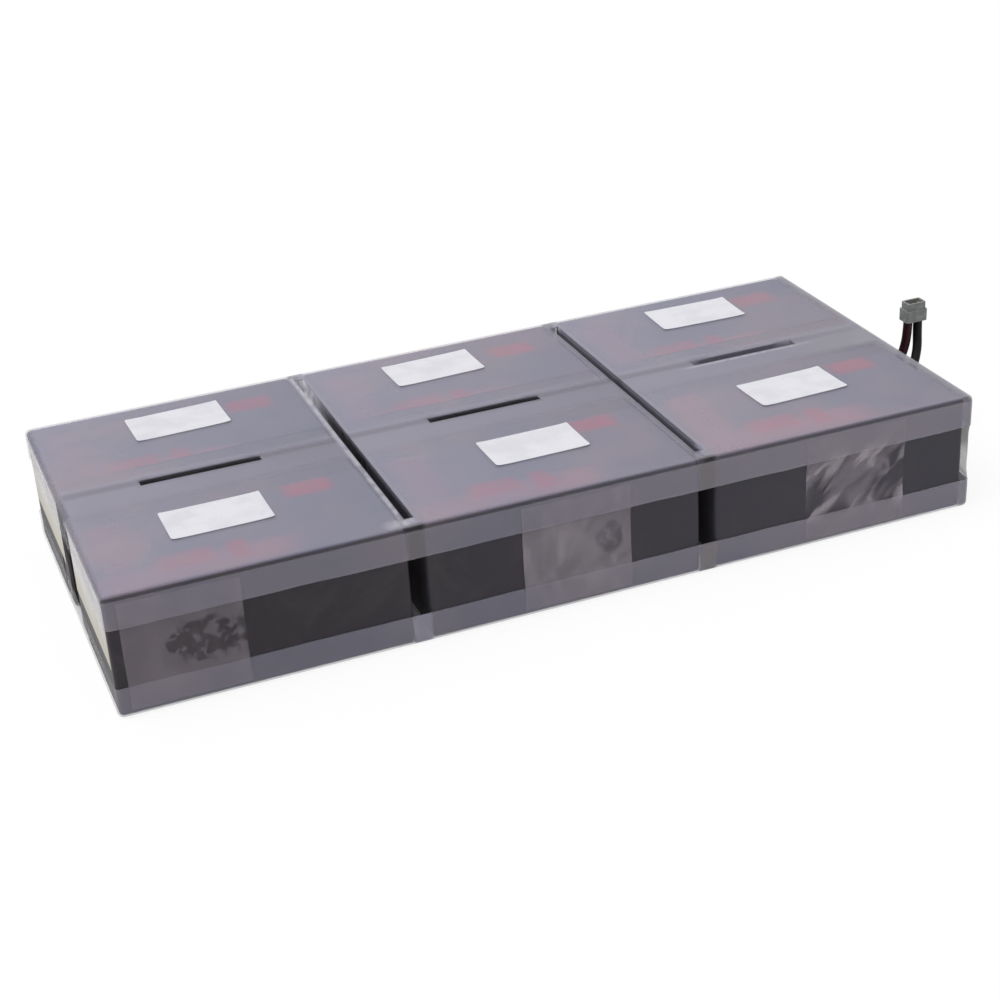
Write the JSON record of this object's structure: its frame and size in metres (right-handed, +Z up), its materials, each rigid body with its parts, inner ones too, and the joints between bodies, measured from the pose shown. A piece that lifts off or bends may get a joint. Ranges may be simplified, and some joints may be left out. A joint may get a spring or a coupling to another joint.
{
  "type": "ups battery pack",
  "caption": "Flat backup-power battery pack: sealed batteries lie in rows between two hazy formed plastic trays taped along the sides, with a short pair of leads and a plug at one end.",
  "frame": {"origin": "centre of the pack's underside, at the middle of the two trays", "axes": "+X along the pack towards the end with the leads, +Y to the back, +Z up"},
  "size_m": [0.5179, 0.2124, 0.0755],
  "materials": {
    "tray_film": "hazy clear formed sheet",
    "battery_case": "dark moulded plastic with printed face",
    "battery_lid": "dark moulded plastic",
    "terminal_tin": "tinned",
    "brass_contact": "stamped",
    "wire_black": "smooth insulation",
    "wire_red": "smooth insulation",
    "plug_grey": "moulded",
    "tape": "clear crinkled tape",
    "sticker_white": "blank white sticker",
    "label_cream": "blank pale label"
  },
  "bodies": {
    "root": {"battery_back_left_case": "battery_case", "battery_back_left_lid": "battery_lid", "battery_back_left_terminals": "terminal_tin", "battery_back_left_vent_cover": "battery_lid", "battery_back_middle_case": "battery_case", "battery_back_middle_lid": "battery_lid", "battery_back_middle_terminals": "terminal_tin", "battery_back_middle_vent_cover": "battery_lid", "battery_back_right_case": "battery_case", "battery_back_right_lid": "battery_lid", "battery_back_right_terminals": "terminal_tin", "battery_back_right_vent_cover": "battery_lid", "battery_front_left_case": "battery_case", "battery_front_left_lid": "battery_lid", "battery_front_left_terminals": "terminal_tin", "battery_front_left_vent_cover": "battery_lid", "battery_front_middle_case": "battery_case", "battery_front_middle_lid": "battery_lid", "battery_front_middle_terminals": "terminal_tin", "battery_front_middle_vent_cover": "battery_lid", "battery_front_right_case": "battery_case", "battery_front_right_lid": "battery_lid", "battery_front_right_terminals": "terminal_tin", "battery_front_right_vent_cover": "battery_lid", "bottom_tray": "tray_film", "end_label_back": "label_cream", "end_label_front": "label_cream", "lead_black": "wire_black", "lead_black_receptacle": "brass_contact", "lead_red": "wire_red", "lead_red_receptacle": "brass_contact", "link_back_left": "wire_black", "link_back_left_receptacles": "brass_contact", "link_back_right": "wire_black", "link_back_right_receptacles": "brass_contact", "link_cross_strap": "brass_contact", "link_front_left": "wire_black", "link_front_left_receptacles": "brass_contact", "link_front_right": "wire_black", "link_front_right_receptacles": "brass_contact", "plug_contacts": "brass_contact", "plug_housing": "plug_grey", "sticker_back_left": "sticker_white", "sticker_back_middle": "sticker_white", "sticker_back_right": "sticker_white", "sticker_front_left": "sticker_white", "sticker_front_middle": "sticker_white", "sticker_front_right": "sticker_white", "tape_back_left": "tape", "tape_back_middle": "tape", "tape_back_right": "tape", "tape_end_back": "tape", "tape_end_front": "tape", "tape_front_left": "tape", "tape_front_middle": "tape", "tape_front_right": "tape", "top_tray": "tray_film"}
  },
  "joints": []
}
